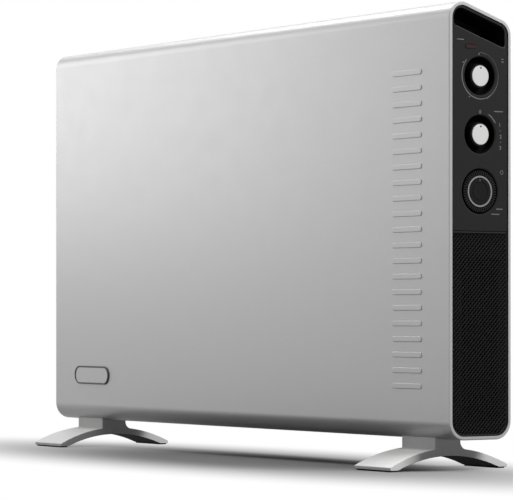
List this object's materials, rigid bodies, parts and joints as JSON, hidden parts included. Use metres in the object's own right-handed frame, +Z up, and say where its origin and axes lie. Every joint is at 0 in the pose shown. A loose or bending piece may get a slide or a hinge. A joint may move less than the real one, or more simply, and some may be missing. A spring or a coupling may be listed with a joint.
{
  "type": "convector heater",
  "caption": "Slim free-standing convector heater with a wrap-around casing, end-mounted rotary controls and timer dial, finger recesses for carrying, mesh end grilles and arched feet.",
  "frame": {"origin": "on the floor, midway between the two feet and midway between their front and rear tips", "axes": "+Z up, +X along the casing towards the control end, the front faces -Y"},
  "size_m": [0.7357, 0.143, 0.45],
  "materials": {
    "silver_paint": "satin",
    "rear_paint": "satin",
    "fascia_plastic": "satin",
    "black_plastic": "matt",
    "mesh_black": "satin",
    "silver_plastic": "satin",
    "rubber": "matt",
    "zinc_steel": "satin",
    "element_steel": "dull",
    "fin_aluminium": "mill",
    "motor_iron": "satin",
    "bearing_bronze": "satin",
    "ceramic": "matt",
    "lens_red": "gloss"
  },
  "bodies": {
    "chassis": {"badge_plate": "silver_plastic", "bracket_screws": "zinc_steel", "casing_wrap": "silver_paint", "control_bracket": "zinc_steel", "control_fascia": "fascia_plastic", "cord_gland": "black_plastic", "foot_screws": "zinc_steel", "front_heater_rod": "element_steel", "heater_fins": "fin_aluminium", "inlet_grille": "black_plastic", "knob_cups": "black_plastic", "left_bulkhead": "zinc_steel", "left_end_frame": "black_plastic", "left_fan_bearing": "bearing_bronze", "left_fan_housing": "black_plastic", "left_fan_motor": "motor_iron", "left_fascia": "fascia_plastic", "left_foot": "silver_plastic", "left_front_pad": "rubber", "left_grille": "mesh_black", "left_handle_cup": "black_plastic", "left_nut_plate": "zinc_steel", "left_rear_pad": "rubber", "outlet_grille": "black_plastic", "pilot_lens": "lens_red", "rear_heater_rod": "element_steel", "rear_panel": "rear_paint", "rear_screws": "zinc_steel", "right_bulkhead": "zinc_steel", "right_end_frame": "black_plastic", "right_fan_bearing": "bearing_bronze", "right_fan_housing": "black_plastic", "right_fan_motor": "motor_iron", "right_foot": "silver_plastic", "right_front_pad": "rubber", "right_grille": "mesh_black", "right_handle_cup": "black_plastic", "right_nut_plate": "zinc_steel", "right_rear_pad": "rubber", "rod_insulators": "ceramic", "selector_body": "black_plastic", "terminal_block": "black_plastic", "thermal_cutout": "zinc_steel", "thermostat_body": "black_plastic", "timer_body": "black_plastic"},
    "thermostat": {"thermostat_grip": "black_plastic", "thermostat_cap": "silver_plastic", "thermostat_shaft": "zinc_steel"},
    "selector": {"selector_grip": "black_plastic", "selector_cap": "silver_plastic", "selector_shaft": "zinc_steel"},
    "timer": {"timer_dial": "black_plastic", "timer_tappets": "black_plastic", "timer_scale_ring": "silver_plastic"},
    "timer_mode": {"timer_mode_knob": "black_plastic", "timer_mode_spindle": "zinc_steel"},
    "right_fan": {"right_fan_impeller": "black_plastic", "right_fan_shaft": "zinc_steel"},
    "left_fan": {"left_fan_impeller": "black_plastic", "left_fan_shaft": "zinc_steel"}
  },
  "joints": [
    {"name": "thermostat_turn", "type": "hinge", "parent": "chassis", "child": "thermostat", "pos_m": [0.3555, 0.0125, 0.3795], "axis": [-1, 0, 0], "range_deg": [0, 300]},
    {"name": "selector_turn", "type": "hinge", "parent": "chassis", "child": "selector", "pos_m": [0.3555, 0.0125, 0.3234], "axis": [-1, 0, 0], "range_deg": [0, 128]},
    {"name": "timer_turn", "type": "hinge", "parent": "chassis", "child": "timer", "pos_m": [0.3555, 0.0125, 0.2686], "axis": [-1, 0, 0], "continuous": true},
    {"name": "timer_mode_turn", "type": "hinge", "parent": "chassis", "child": "timer_mode", "pos_m": [0.3555, 0.0125, 0.2686], "axis": [-1, 0, 0], "range_deg": [-40, 40]},
    {"name": "right_fan_spin", "type": "hinge", "parent": "chassis", "child": "right_fan", "pos_m": [0.3335, 0.0125, 0.12], "axis": [0, 0, 1], "continuous": true},
    {"name": "left_fan_spin", "type": "hinge", "parent": "chassis", "child": "left_fan", "pos_m": [-0.3335, 0.0125, 0.12], "axis": [0, 0, 1], "continuous": true}
  ]
}
